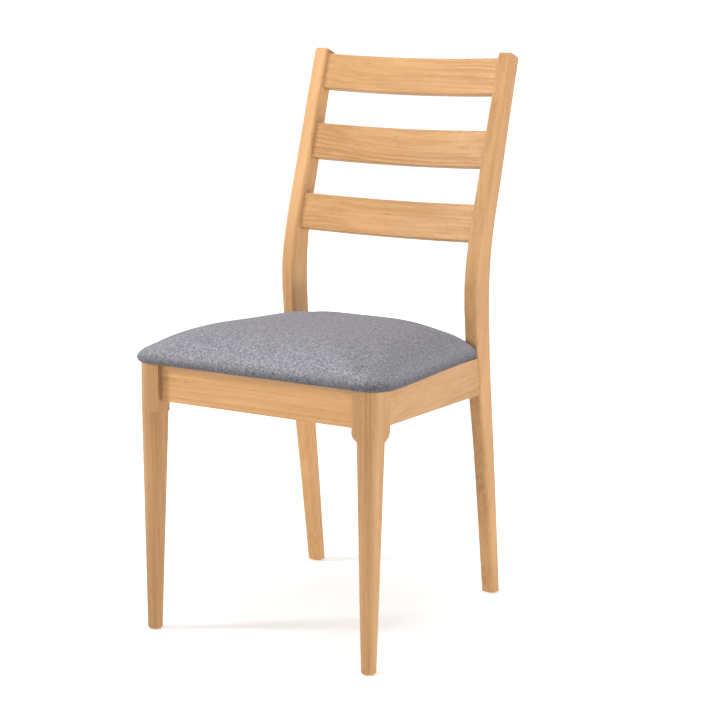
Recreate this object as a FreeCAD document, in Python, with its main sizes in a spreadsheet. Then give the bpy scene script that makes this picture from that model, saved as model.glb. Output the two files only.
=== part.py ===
"""Ladder-back dining chair: wooden frame, three bent slats, upholstered seat pad.

Frame: +Z up, the seat faces -Y, +X to the right of someone looking at the front.
The origin lies on the floor under the middle of the chair. All lengths in mm.
"""
import FreeCAD, Part
import math
import os
import Sketcher
from FreeCAD import Placement, Rotation, Vector

os.makedirs("parts", exist_ok=True)
doc = FreeCAD.newDocument("dining_chair")

# --------------------------------------------------------------------------
# Driving dimensions
# --------------------------------------------------------------------------
DIMENSIONS = [
    # seat frame
    ("seat_front_height", 421.0, "underside of the seat pad at its front edge"),
    ("seat_front_edge", -251.1, "front edge of the seat pad"),
    ("seat_slope", 1.75, "degrees the seat falls towards the back"),
    ("fit_gap", 0.1, "clearance kept between joined faces"),
    # front legs
    ("leg_block", 40.5, "square section at the rails"),
    ("leg_across", 187.9, "centre of the leg block from the middle"),
    ("leg_along", -223.5, "centre of the leg block, front to back"),
    ("leg_splay", 2.5, "how far the foot leans outwards"),
    ("leg_foot_radius", 11.35, "turned leg at the floor"),
    ("leg_turned_radius", 20.2, "turned leg under the shoulder"),
    ("leg_outer_round", 19.5, "rounded outer front corner of the block"),
    ("leg_inner_cut", 11.0, "bevelled inner rear corner of the block"),
    ("shoulder_low", 345.5, "where the turned part begins"),
    ("shoulder_high", 359.0, "where the square block ends"),
    ("foot_edge", 1.6, "softened edge under the feet"),
    # rails
    ("rail_underside", 364.0, "lower edge of the front rail"),
    ("rail_thickness", 20.0, "all four rails"),
    ("rail_edge", 1.2, "softened rail edges"),
    ("front_rail_face", -234.3, "front face of the front rail"),
    ("side_rail_front_across", 199.9, "outer face of a side rail at the leg"),
    ("side_rail_rear_across", 178.9, "outer face of a side rail at the post"),
    ("side_rail_rear_underside", 348.2, "lower edge of a side rail at the post"),
    ("rear_rail_face", 142.2, "front face of the rear rail"),
    ("rear_rail_underside", 350.0, "lower edge of the rear rail"),
    # rear posts
    ("post_across", 168.8, "centre of a post from the middle of the chair"),
    ("post_width", 24.8, "across the chair"),
    ("post_height", 884.2, "top of a post at its front face"),
    ("post_round_foot", 7.0, "long edges at the foot"),
    ("post_round_top", 4.5, "long edges at the top"),
    ("post_end_round", 4.0, "rounded top end"),
    # back slats
    ("slat_height", 59.0, "measured along the raked back"),
    ("slat_thickness", 15.7, ""),
    ("slat_bow", 14.3, "how far the middle lies behind the ends"),
    ("slat_recess", 6.5, "behind the front face of the posts"),
    ("slat_edge", 2.0, "softened long edges"),
    ("tenon_length", 12.0, "into each post"),
    ("tenon_thickness", 8.0, ""),
    ("tenon_shoulder", 5.0, "tenon is narrower than the slat at each edge"),
    # fasteners
    ("dowel_radius", 4.0, ""),
    ("dowel_length", 34.0, "half in the rail, half in the leg"),
    ("screw_radius", 2.0, "shank"),
    ("screw_head_radius", 4.0, ""),
    ("screw_head_height", 2.4, "countersunk part"),
    ("screw_length", 30.0, ""),
    ("block_thickness", 20.0, "corner blocks"),
    # seat pad
    ("pad_half_front", 225.8, "half width of the pad at its front edge"),
    ("pad_half_rear", 176.3, "half width of the pad at its rear edge"),
    ("pad_length", 411.5, "front to rear, along the slope"),
    ("pad_notch_across", 153.0, "inner side of the cut-outs round the posts"),
    ("pad_notch_along", 377.7, "front side of the cut-outs round the posts"),
    ("cover_thickness", 1.2, "woven fabric"),
    ("cover_lap", 48.0, "fabric turned under the board"),
    ("board_thickness", 9.0, "plywood"),
    ("board_inset", 6.0, "board edge from the edge of the pad"),
    ("staple_width", 10.0, ""),
    ("staple_wire", 0.9, ""),
    ("staple_depth", 6.0, ""),
    # feet
    ("glide_thickness", 2.0, ""),
    ("glide_radius_front", 8.6, ""),
    ("glide_radius_rear", 6.2, ""),
    ("glide_nail_radius", 1.0, ""),
    ("glide_nail_length", 11.0, ""),
]

# Side view of a rear post: height, front face, depth from front to back.
POST_STATIONS = {
    "foot": (2.0, 210.0, 23.1),
    "ankle": (150.0, 183.3, 29.3),
    "shin": (300.0, 153.5, 36.6),
    "rail": (380.0, 135.2, 42.4),
    "seat": (450.0, 124.0, 45.5),
    "bend": (530.0, 118.1, 46.5),
    "waist": (590.0, 128.0, 42.1),
    "lumbar": (680.0, 155.1, 38.5),
    "shoulder": (780.0, 186.6, 33.9),
    "top": (884.2, 219.4, 30.8),
}
STATION_COLUMNS = ("height", "front", "depth")

# Slats: height of the middle, front face of the post there, rake in degrees.
SLATS = {
    "top": (848.4, 207.8, 17.4),
    "middle": (736.0, 172.7, 17.3),
    "lower": (622.5, 137.6, 16.4),
}
SLAT_COLUMNS = ("height", "face", "rake")

SIDES = (("left", -1), ("right", 1))


class Size:
    """A length that carries the spreadsheet formula it comes from."""

    def __init__(self, value, text):
        self.value = float(value)
        self.text = text

    def _join(self, other, sign, swapped=False):
        other = as_size(other)
        a, b = (other, self) if swapped else (self, other)
        if sign == "+":
            value = a.value + b.value
        elif sign == "-":
            value = a.value - b.value
        elif sign == "*":
            value = a.value * b.value
        else:
            value = a.value / b.value
        return Size(value, f"({a.text} {sign} {b.text})")

    def __add__(self, other):
        return self._join(other, "+")

    def __radd__(self, other):
        return self._join(other, "+", True)

    def __sub__(self, other):
        return self._join(other, "-")

    def __rsub__(self, other):
        return self._join(other, "-", True)

    def __mul__(self, other):
        return self._join(other, "*")

    def __rmul__(self, other):
        return self._join(other, "*", True)

    def __truediv__(self, other):
        return self._join(other, "/")

    def __neg__(self):
        return self._join(-1, "*")


def as_size(number):
    if isinstance(number, Size):
        return number
    return Size(number, f"({float(number):.6f})")


class Sizes:
    """The named sizes, one attribute for each row of the spreadsheet."""


def fill_sheet():
    """Write every driving dimension into the spreadsheet and name its cell."""
    sheet = doc.addObject("Spreadsheet::Sheet", "Sizes")
    rows = list(DIMENSIONS)
    for station, numbers in POST_STATIONS.items():
        for column, number in zip(STATION_COLUMNS, numbers):
            rows.append((f"post_{column}_{station}", number, "rear post section"))
    for slat, numbers in SLATS.items():
        for column, number in zip(SLAT_COLUMNS, numbers):
            rows.append((f"slat_{column}_{slat}", number, "slat position"))
    sizes = Sizes()
    for row, (alias, number, note) in enumerate(rows, start=1):
        sheet.set(f"A{row}", alias)
        sheet.set(f"B{row}", f"{number}")
        sheet.setAlias(f"B{row}", alias)
        sheet.set(f"C{row}", note)
        setattr(sizes, alias, Size(number, f"Sizes.{alias}"))
    return sizes


dim = fill_sheet()
doc.recompute()
NODES = {}


# --------------------------------------------------------------------------
# Helpers
# --------------------------------------------------------------------------
def bind(thing, path, size):
    thing.setExpression(path, as_size(size).text)


def new_body(name):
    body = doc.addObject("PartDesign::Body", name)
    body.Label = name
    return body


def origin_plane(body, role):
    return next(f for f in body.Origin.OriginFeatures if f.Role == role)


def new_sketch(body, name, role, lift=None):
    sketch = body.newObject("Sketcher::SketchObject", name)
    sketch.AttachmentSupport = [(origin_plane(body, role), "")]
    sketch.MapMode = "FlatFace"
    if lift is not None:
        bind(sketch, "AttachmentOffset.Base.z", lift)
    return sketch


def pin(sketch, geometry, end, across=None, up=None):
    """Tie one end of a sketch element to the sketch origin, by the sheet's sizes."""
    for kind, size in (("DistanceX", across), ("DistanceY", up)):
        if size is None:
            continue
        size = as_size(size)
        rule = Sketcher.Constraint(kind, -1, 1, geometry, end, size.value)
        index = sketch.addConstraint(rule)
        sketch.setExpression(f"Constraints[{index}]", size.text)


def outline(body, name, role, corners, lift=None):
    """A closed outline of straight edges through the given corners."""
    sketch = new_sketch(body, name, role, lift)
    corners = [(as_size(across), as_size(up)) for across, up in corners]
    points = [Vector(across.value, up.value, 0) for across, up in corners]
    count = len(points)
    for i in range(count):
        sketch.addGeometry(Part.LineSegment(points[i], points[(i + 1) % count]), False)
    for i in range(count):
        sketch.addConstraint(Sketcher.Constraint("Coincident", i, 2, (i + 1) % count, 1))
    for i, (across, up) in enumerate(corners):
        pin(sketch, i, 1, across, up)
    return sketch


def add_pad(body, name, sketch, length, midplane=False):
    pad = body.newObject("PartDesign::Pad", name)
    pad.Profile = sketch
    if midplane:
        pad.Midplane = True
    bind(pad, "Length", length)
    doc.recompute()
    return pad


def round_edges(body, name, feature, wanted, radius):
    """Round the edges of a body's feature that pass the given test."""
    names = [f"Edge{i}" for i, e in enumerate(feature.Shape.Edges, start=1) if wanted(e)]
    fillet = body.newObject("PartDesign::Fillet", name)
    fillet.Base = (feature, names)
    bind(fillet, "Radius", radius)
    doc.recompute()
    return fillet


def level_edge(height):
    """Test for edges that lie at one height."""
    return lambda e: all(abs(v.Z - height) < 0.01 for v in e.Vertexes)


def long_edge(axis, length):
    """Test for edges that run at least this far along one axis (0, 1, 2)."""

    def test(edge):
        ends = edge.Vertexes
        return len(ends) == 2 and abs(ends[0].Point[axis] - ends[1].Point[axis]) > length

    return test


def place(thing, base, rotation=None):
    """Put a body at a point given by sheet sizes, turned by a rotation."""
    values = [as_size(part) for part in base]
    point = Vector(*[part.value for part in values])
    thing.Placement = Placement(point, rotation or Rotation())
    for axis, part in zip("xyz", values):
        bind(thing, f"Placement.Base.{axis}", part)


def seat_plane(along):
    """Height of the sloping seat plane (top of the rails) at a place along Y."""
    fall = math.tan(math.radians(dim.seat_slope.value))
    return dim.seat_front_height - (along - dim.seat_front_edge) * fall


def rod(name, centre, direction, radius, length):
    """A round bar centred on a point."""
    bar = doc.addObject("Part::Cylinder", name)
    bind(bar, "Radius", radius)
    bind(bar, "Height", length)
    turn = Rotation(Vector(0, 0, 1), Vector(*direction))
    middle = Vector(*[as_size(part).value for part in centre])
    bar.Placement = Placement(middle - turn.multVec(Vector(0, 0, length.value / 2)), turn)
    return bar


def group(name, members):
    compound = doc.addObject("Part::Compound", name)
    compound.Links = members
    return compound


def cut_from(label, blank, tools):
    """The finished piece: its blank less the holes and mortises."""
    cut = doc.addObject("Part::Cut", label)
    cut.Base = blank
    cut.Tool = group(f"{label}_tools", tools) if len(tools) > 1 else tools[0]
    keep(label, cut)
    return cut


def keep(label, thing):
    thing.Label = label
    NODES[label] = thing


def copies(name, pattern, placements):
    """Equal loose pieces made from one pattern."""
    thing = doc.addObject("Part::Feature", name)
    shapes = [pattern.Shape.copy() for _ in placements]
    for shape, spot in zip(shapes, placements):
        shape.Placement = spot.multiply(pattern.Placement)
    thing.Shape = Part.makeCompound(shapes)
    return thing


# --------------------------------------------------------------------------
# Fasteners and the tools that make room for them
# --------------------------------------------------------------------------
def dowel_set(label, spots):
    """Dowels at (centre, direction) spots; returns the drills for their holes."""
    pegs = []
    drills = []
    for i, (centre, direction) in enumerate(spots):
        pegs.append(rod(f"{label}_{i}", centre, direction, dim.dowel_radius, dim.dowel_length))
        wide = dim.dowel_radius + dim.fit_gap
        deep = dim.dowel_length + 1
        drills.append(rod(f"{label}_drill_{i}", centre, direction, wide, deep))
    keep(label, group(label, pegs))
    return drills


def screw_body(name, gap, recess):
    """A countersunk wood screw, head up at the origin, point towards -Z."""
    body = new_body(name)
    head = dim.screw_head_radius + gap
    shank = dim.screw_radius + gap
    neck = -dim.screw_head_height - gap
    tip = -dim.screw_length - gap
    corners = [(0, 0), (head, 0), (head, -0.4), (shank, neck), (shank, tip + 5), (0.4, tip), (0, tip)]
    profile = outline(body, f"{name}_profile", "XZ_Plane", corners)
    turned = body.newObject("PartDesign::Revolution", f"{name}_turned")
    turned.Profile = profile
    turned.ReferenceAxis = (profile, ["V_Axis"])
    turned.Angle = 360
    doc.recompute()
    if recess:
        w, n = 0.45, 2.2
        cross = [(w, w), (n, w), (n, -w), (w, -w), (w, -n), (-w, -n)]
        cross += [(-w, -w), (-n, -w), (-n, w), (-w, w), (-w, n), (w, n)]
        slot = body.newObject("PartDesign::Pocket", f"{name}_recess")
        slot.Profile = outline(body, f"{name}_cross", "XY_Plane", cross)
        slot.Length = 1.2
        doc.recompute()
    return body


screw = screw_body("screw_pattern", Size(0, "0"), True)
screw_room = screw_body("screw_room", dim.fit_gap, False)


def aimed(point, direction):
    """Placement that points a screw's tip along a direction from its head."""
    return Placement(Vector(*point), Rotation(Vector(0, 0, -1), Vector(*direction)))


def counterbore(name, point, direction):
    """Room for the screw head behind its seat, out of an angled face."""
    back = Vector(*direction) * -15.0
    middle = Vector(*point) + back
    return rod(name, tuple(middle), tuple(back), dim.screw_head_radius + 0.6, as_size(30))


# --------------------------------------------------------------------------
# Where the rails meet the legs and posts
# --------------------------------------------------------------------------
leg_half = dim.leg_block / 2
leg_back = dim.leg_along + leg_half
rail_rear_end = 135.2
rail_run = rail_rear_end - leg_back.value
rail_taper = (dim.side_rail_front_across.value - dim.side_rail_rear_across.value) / rail_run
front_rail_middle = dim.front_rail_face + dim.rail_thickness / 2
rear_rail_middle = dim.rear_rail_face + dim.rail_thickness / 2
post_inner = dim.post_across - dim.post_width / 2


def side_rail_outer(along):
    return dim.side_rail_front_across.value - rail_taper * (along - leg_back.value)


def side_rail_inner(along):
    return side_rail_outer(along) - dim.rail_thickness.value * math.hypot(1, rail_taper)


def side_rail_middle(along):
    return (side_rail_outer(along) + side_rail_inner(along)) / 2


# --------------------------------------------------------------------------
# Dowels
# --------------------------------------------------------------------------
FRONT_DOWEL_HEIGHTS = (379.0, 405.0)
REAR_DOWEL_HEIGHTS = (372.0, 399.0)
SIDE_FRONT_DOWEL_HEIGHTS = (379.0, 405.0)
SIDE_REAR_DOWELS = ((358.5, 139.8), (386.0, 134.1))

drills = {}
front_face = dim.leg_across - leg_half
spots = [
    ((front_face * side, front_rail_middle, height), (side, 0, 0))
    for _, side in SIDES
    for height in FRONT_DOWEL_HEIGHTS
]
drills["front"] = dowel_set("front_rail_dowels", spots)
spots = [
    ((post_inner * side, rear_rail_middle, height), (side, 0, 0))
    for _, side in SIDES
    for height in REAR_DOWEL_HEIGHTS
]
drills["rear"] = dowel_set("rear_rail_dowels", spots)
for name, side in SIDES:
    ends = [(leg_back.value, height) for height in SIDE_FRONT_DOWEL_HEIGHTS]
    ends += [(along, height) for height, along in SIDE_REAR_DOWELS]
    spots = [
        ((side * side_rail_middle(along), along, height), (-side * rail_taper, 1, 0))
        for along, height in ends
    ]
    drills[name] = dowel_set(f"side_rail_dowels_{name}", spots)

# --------------------------------------------------------------------------
# Floor glides: a disc with a nail up into the foot
# --------------------------------------------------------------------------
foot_centres = {
    "front": (dim.leg_across + dim.leg_splay, dim.leg_along, dim.glide_radius_front),
    "rear": (dim.post_across, dim.post_front_foot + dim.post_depth_foot / 2, dim.glide_radius_rear),
}
nail_room = {}
for end, (across, along, radius) in foot_centres.items():
    for name, side in SIDES:
        label = f"glide_{end}_{name}"
        body = new_body(label)
        top = dim.glide_thickness
        nail = dim.glide_nail_radius
        tip = dim.glide_nail_length
        corners = [(0, 0), (radius - 0.5, 0), (radius, 0.5), (radius, top), (nail, top), (nail, tip), (0, tip)]
        profile = outline(body, f"{label}_profile", "XZ_Plane", corners)
        turned = body.newObject("PartDesign::Revolution", f"{label}_turned")
        turned.Profile = profile
        turned.ReferenceAxis = (profile, ["V_Axis"])
        turned.Angle = 360
        place(body, (across * side, along, 0))
        keep(label, body)
        centre = (across * side, along, tip / 2 + 0.25)
        wide = nail + 0.05
        nail_room[end, name] = rod(f"{label}_room", centre, (0, 0, 1), wide, tip + 0.5)

# --------------------------------------------------------------------------
# Front legs: square block at the rails, turned below the shoulder
# --------------------------------------------------------------------------
leg_blanks = {}
for name, side in SIDES:
    body = new_body(f"front_leg_{name}_blank")
    inner, cut = -leg_half * side, dim.leg_inner_cut * side
    edge = [
        (inner, -leg_half),
        (-inner, -leg_half),
        (-inner, leg_half),
        (inner + cut, leg_half),
        (inner, leg_half - dim.leg_inner_cut),
    ]
    section = outline(body, f"leg_{name}_section", "XY_Plane", edge, lift=dim.glide_thickness)
    leg_top = seat_plane(dim.leg_along - leg_half)
    block = add_pad(body, f"leg_{name}_block", section, leg_top - dim.glide_thickness)
    corner = Vector(side * leg_half.value, -leg_half.value, 100)

    def outer_corner(e, corner=corner):
        middle = e.CenterOfMass
        return abs(middle.x - corner.x) < 0.01 and abs(middle.y - corner.y) < 0.01

    rounded = round_edges(body, f"leg_{name}_outer_round", block, outer_corner, dim.leg_outer_round)

    # top cut to the slope of the seat
    high = leg_top + 5
    rear_top = seat_plane(dim.leg_along + leg_half)
    wedge = [(-leg_half - 1, leg_top), (leg_half + 1, rear_top), (leg_half + 1, high), (-leg_half - 1, high)]
    slope = body.newObject("PartDesign::Pocket", f"leg_{name}_slope")
    slope.Profile = outline(body, f"leg_{name}_wedge", "YZ_Plane", wedge)
    slope.Midplane = True
    slope.Length = 80
    doc.recompute()

    # turning: everything outside the tapered leg is cut away round its leaning axis
    def lean(height, side=side):
        return dim.leg_splay * side * (1 - height / dim.shoulder_low)

    outside = leg_half * 2
    foot = dim.glide_thickness
    foot_round = dim.leg_foot_radius - dim.foot_edge
    turning = [
        (foot_round, foot - 1),
        (foot_round, foot),
        (dim.leg_foot_radius, foot + dim.foot_edge),
        (dim.leg_turned_radius, dim.shoulder_low),
        (dim.leg_turned_radius + 2.6, dim.shoulder_low + 2.6),
        (dim.leg_turned_radius + 5.8, dim.shoulder_low + 6.6),
        (dim.leg_turned_radius + 8.0, dim.shoulder_high - 2.4),
        (dim.leg_turned_radius + 8.8, dim.shoulder_high),
        (outside, dim.shoulder_high),
        (outside, foot - 1),
    ]
    corners = [(lean(up) + out * side if up.value < 100 else out * side, up) for out, up in turning]
    profile = outline(body, f"leg_{name}_turning", "XZ_Plane", corners)
    axis = profile.addGeometry(
        Part.LineSegment(Vector(lean(foot).value, foot.value, 0), Vector(0, dim.shoulder_low.value, 0)),
        True,
    )
    pin(profile, axis, 1, lean(foot), foot)
    pin(profile, axis, 2, 0, dim.shoulder_low)
    groove = body.newObject("PartDesign::Groove", f"leg_{name}_turned")
    groove.Profile = profile
    groove.ReferenceAxis = (profile, ["Axis0"])
    groove.Angle = 360
    doc.recompute()
    place(body, (dim.leg_across * side, dim.leg_along, 0))
    leg_blanks[name] = body

for name, side in SIDES:
    holes = [drill for drill in drills["front"] if drill.Placement.Base.x * side > 0]
    holes += [drill for drill in drills[name] if drill.Placement.Base.y < 0]
    holes.append(nail_room["front", name])
    cut_from(f"front_leg_{name}", leg_blanks[name], holes)

# --------------------------------------------------------------------------
# Back slats: bent boards with a tenon at each end
# --------------------------------------------------------------------------
mortise_tools = []
for name in SLATS:
    height = getattr(dim, f"slat_height_{name}")
    face = getattr(dim, f"slat_face_{name}")
    rake = getattr(dim, f"slat_rake_{name}")
    half = post_inner - dim.fit_gap
    label = f"{name}_slat"
    body = new_body(label)
    bow = dim.slat_bow
    radius = (half * half + bow * bow) / (bow * 2)
    middle = bow - radius
    outer = radius + dim.slat_thickness
    sketch = new_sketch(body, f"{label}_plan", "XY_Plane")
    inner_end = math.atan2(-middle.value, half.value)
    outer_end = math.acos(half.value / outer.value)
    centre = Vector(0, middle.value, 0)
    front = Part.Circle(centre, Vector(0, 0, 1), radius.value)
    back = Part.Circle(centre, Vector(0, 0, 1), outer.value)
    sketch.addGeometry(Part.ArcOfCircle(front, inner_end, math.pi - inner_end), False)
    sketch.addGeometry(Part.ArcOfCircle(back, outer_end, math.pi - outer_end), False)
    back_at_end = middle.value + outer.value * math.sin(outer_end)
    for side in (1, -1):
        start = Vector(side * half.value, 0, 0)
        stop = Vector(side * half.value, back_at_end, 0)
        sketch.addGeometry(Part.LineSegment(start, stop), False)
    for line, end in ((2, 1), (3, 2)):
        sketch.addConstraint(Sketcher.Constraint("Coincident", 0, end, line, 1))
        sketch.addConstraint(Sketcher.Constraint("Coincident", 1, end, line, 2))
    pin(sketch, 0, 1, half, 0)
    pin(sketch, 0, 2, -half, 0)
    index = sketch.addConstraint(Sketcher.Constraint("Radius", 0, radius.value))
    sketch.setExpression(f"Constraints[{index}]", radius.text)
    sketch.addConstraint(Sketcher.Constraint("Coincident", 0, 3, 1, 3))
    index = sketch.addConstraint(Sketcher.Constraint("Radius", 1, outer.value))
    sketch.setExpression(f"Constraints[{index}]", outer.text)
    pin(sketch, 1, 1, half, None)
    pin(sketch, 1, 2, -half, None)
    board = add_pad(body, f"{label}_board", sketch, dim.slat_height, midplane=True)
    round_edges(body, f"{label}_edges", board, long_edge(0, 100), dim.slat_edge)

    # tenons, set in the middle of the board's thickness at its ends
    tenon_front = (dim.slat_thickness - dim.tenon_thickness) / 2
    tenon_back = tenon_front + dim.tenon_thickness
    tenon_height = dim.slat_height - dim.tenon_shoulder * 2
    for end, side in SIDES:
        near = (half - 3) * side
        far = (half + dim.tenon_length) * side
        corners = [(near, tenon_front), (far, tenon_front), (far, tenon_back), (near, tenon_back)]
        sketch = outline(body, f"{label}_tenon_{end}", "XY_Plane", corners)
        add_pad(body, f"{label}_tenon_{end}_pad", sketch, tenon_height, midplane=True)

    turn = Rotation(Vector(1, 0, 0), -rake.value)
    recess = dim.slat_recess
    back_shift = recess * math.cos(math.radians(rake.value))
    drop = recess * math.sin(math.radians(rake.value))
    place(body, (0, face + back_shift, height - drop), turn)
    keep(label, body)

    # the matching mortises, a little roomier than the tenons
    gap = dim.fit_gap
    for end, side in SIDES:
        tool = doc.addObject("Part::Box", f"{label}_mortise_{end}")
        bind(tool, "Length", dim.tenon_length + 3)
        bind(tool, "Width", dim.tenon_thickness + gap * 2)
        bind(tool, "Height", tenon_height + gap * 2)
        inner = half.value - 2.5 if side > 0 else -half.value - dim.tenon_length.value - 0.5
        corner = Vector(inner, tenon_front.value - gap.value, -tenon_height.value / 2 - gap.value)
        spot = body.Placement.copy()
        tool.Placement = Placement(spot.multVec(corner), turn)
        mortise_tools.append((end, tool))

# --------------------------------------------------------------------------
# Rear posts: one piece from foot to top, sawn to a curve and rounded
# --------------------------------------------------------------------------
def post_curve(share):
    """Side view curve of the front face (share 0) or the rear face (share 1)."""
    rake = math.radians(dim.slat_rake_top.value)
    points = []
    for station in POST_STATIONS:
        height, front, depth = (
            getattr(dim, f"post_{column}_{station}").value for column in STATION_COLUMNS
        )
        points.append(Vector(front + depth * share, height, 0))
    # the upper end is cut square to the raked post
    across = depth * math.cos(rake) * share
    points[-1] = Vector(front + across * math.cos(rake), height - across * math.sin(rake), 0)
    curve = Part.BSplineCurve()
    curve.interpolate(points)
    return curve


def end_cut_edge(edge):
    """Test for the edges round the raked upper end of a post."""
    rake = math.radians(dim.slat_rake_top.value)
    front, height = dim.post_front_top.value, dim.post_height_top.value
    return all(
        abs((v.Y - front) * math.sin(rake) + (v.Z - height) * math.cos(rake)) < 0.01
        for v in edge.Vertexes
    )


def rounded(name, base, wanted, foot_radius, top_radius):
    """Round the edges that pass a test, from one radius at the foot to one at the top."""
    chosen = []
    for i, e in enumerate(base.Shape.Edges, start=1):
        if not wanted(e):
            continue
        upward = e.valueAt(e.FirstParameter).z < e.valueAt(e.LastParameter).z
        radii = (foot_radius, top_radius) if upward else (top_radius, foot_radius)
        chosen.append((i,) + radii)
    fillet = doc.addObject("Part::Fillet", name)
    fillet.Base = base
    fillet.Edges = chosen
    doc.recompute()
    return fillet


for name, side in SIDES:
    body = new_body(f"rear_post_{name}_blank")
    sketch = new_sketch(body, f"post_{name}_view", "YZ_Plane")
    front, rear = post_curve(0), post_curve(1)
    sketch.addGeometry(front, False)
    sketch.addGeometry(Part.LineSegment(front.EndPoint, rear.EndPoint), False)
    sketch.addGeometry(rear, False)
    sketch.addGeometry(Part.LineSegment(rear.StartPoint, front.StartPoint), False)
    add_pad(body, f"post_{name}_sawn", sketch, dim.post_width, midplane=True)
    place(body, (dim.post_across * side, 0, 0))
    doc.recompute()
    long_edges = long_edge(2, 500)
    foot_round, top_round = dim.post_round_foot.value, dim.post_round_top.value
    sides = rounded(f"post_{name}_sides", body, long_edges, foot_round, top_round)
    end_round = dim.post_end_round.value
    tip = rounded(f"post_{name}_tip", sides, end_cut_edge, end_round, end_round)
    foot = dim.foot_edge.value
    blank = rounded(f"post_{name}_foot", tip, level_edge(dim.post_height_foot.value), foot, foot)

    holes = [tool for end, tool in mortise_tools if end == name]
    holes += [drill for drill in drills["rear"] if drill.Placement.Base.x * side > 0]
    holes += [drill for drill in drills[name] if drill.Placement.Base.y > 0]
    holes.append(nail_room["rear", name])
    cut_from(f"rear_post_{name}", blank, holes)

# --------------------------------------------------------------------------
# Corner blocks and screws
# --------------------------------------------------------------------------
front_inner = dim.front_rail_face.value + dim.rail_thickness.value
rear_inner = dim.rear_rail_face.value
CLEAR = 0.1
rail_screws = []
seat_screws = []
screw_sinks = []
blocks = []
BLOCKS = {
    # rail face, direction into the rail, the block's two corners on the rail,
    # underside, place of the seat screw
    "front": (front_inner, -1, (108.0, 146.0), 396.0, (150.0, -191.3)),
    "rear": (rear_inner, 1, (96.0, 129.0), 386.5, (138.0, 114.2)),
}
for end, (rail_face, inward, (near, far), underside, (seat_x, seat_y)) in BLOCKS.items():
    for name, side in SIDES:
        label = f"corner_block_{end}_{name}"
        corners = [(near, rail_face - inward * CLEAR), (far, rail_face - inward * CLEAR)]
        for start in (far, near):
            # a 45 degree edge from the rail to the side rail's inner face
            run = (side_rail_inner(rail_face) - start) / (1 - inward * rail_taper)
            along = rail_face - inward * run
            corners.append((side_rail_inner(along) - CLEAR, along))
        body = new_body(f"{label}_blank")
        plan = outline(body, f"{label}_plan", "XY_Plane", [(side * x, y) for x, y in corners])
        add_pad(body, f"{label}_pad", plan, dim.block_thickness)
        place(body, (0, 0, underside))
        blocks.append((label, body))

        height = underside + dim.block_thickness.value / 2
        across = (near + far) / 2
        along = (corners[2][1] + corners[3][1]) / 2
        head = 13.0
        spot = (side * across, rail_face - inward * head, height)
        rail_screws.append(aimed(spot, (0, inward, 0)))
        screw_sinks.append(counterbore(f"{label}_bore_rail", spot, (0, inward, 0)))
        spot = (side * (side_rail_inner(along) - head), along, height)
        rail_screws.append(aimed(spot, (side, 0, 0)))
        screw_sinks.append(counterbore(f"{label}_bore_side", spot, (side, 0, 0)))
        seat_screws.append(aimed((side * seat_x, seat_y, underside), (0, 0, 1)))

keep("corner_block_screws", copies("corner_block_screws", screw, rail_screws))
keep("seat_fixing_screws", copies("seat_fixing_screws", screw, seat_screws))
rail_screw_room = copies("rail_screw_room", screw_room, rail_screws)
seat_screw_room = copies("seat_screw_room", screw_room, seat_screws)
for label, body in blocks:
    cut_from(label, body, [rail_screw_room, seat_screw_room] + screw_sinks)

# --------------------------------------------------------------------------
# Rails
# --------------------------------------------------------------------------
front_rail = new_body("front_rail_blank")
front, back = dim.front_rail_face, dim.front_rail_face + dim.rail_thickness
low = dim.rail_underside
corners = [(front, low), (back, low), (back, seat_plane(back)), (front, seat_plane(front))]
sketch = outline(front_rail, "front_rail_section", "YZ_Plane", corners)
span = (front_face - dim.fit_gap) * 2
rail = add_pad(front_rail, "front_rail_pad", sketch, span, midplane=True)


def low_edges(e):
    return e.BoundBox.ZMax < rail_low + 0.5 and e.BoundBox.XLength > 100


rail_low = low.value
round_edges(front_rail, "front_rail_edges", rail, low_edges, dim.rail_edge)
cut_from("front_rail", front_rail, drills["front"] + [rail_screw_room])

rear_rail = new_body("rear_rail_blank")
front, back = dim.rear_rail_face, dim.rear_rail_face + dim.rail_thickness
low = dim.rear_rail_underside
corners = [(front, low), (back, low), (back, seat_plane(back)), (front, seat_plane(front))]
sketch = outline(rear_rail, "rear_rail_section", "YZ_Plane", corners)
span = (post_inner - dim.fit_gap) * 2
rail = add_pad(rear_rail, "rear_rail_pad", sketch, span, midplane=True)
rail_low = low.value
round_edges(rear_rail, "rear_rail_edges", rail, low_edges, dim.rail_edge)
cut_from("rear_rail", rear_rail, drills["rear"] + [rail_screw_room])

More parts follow.
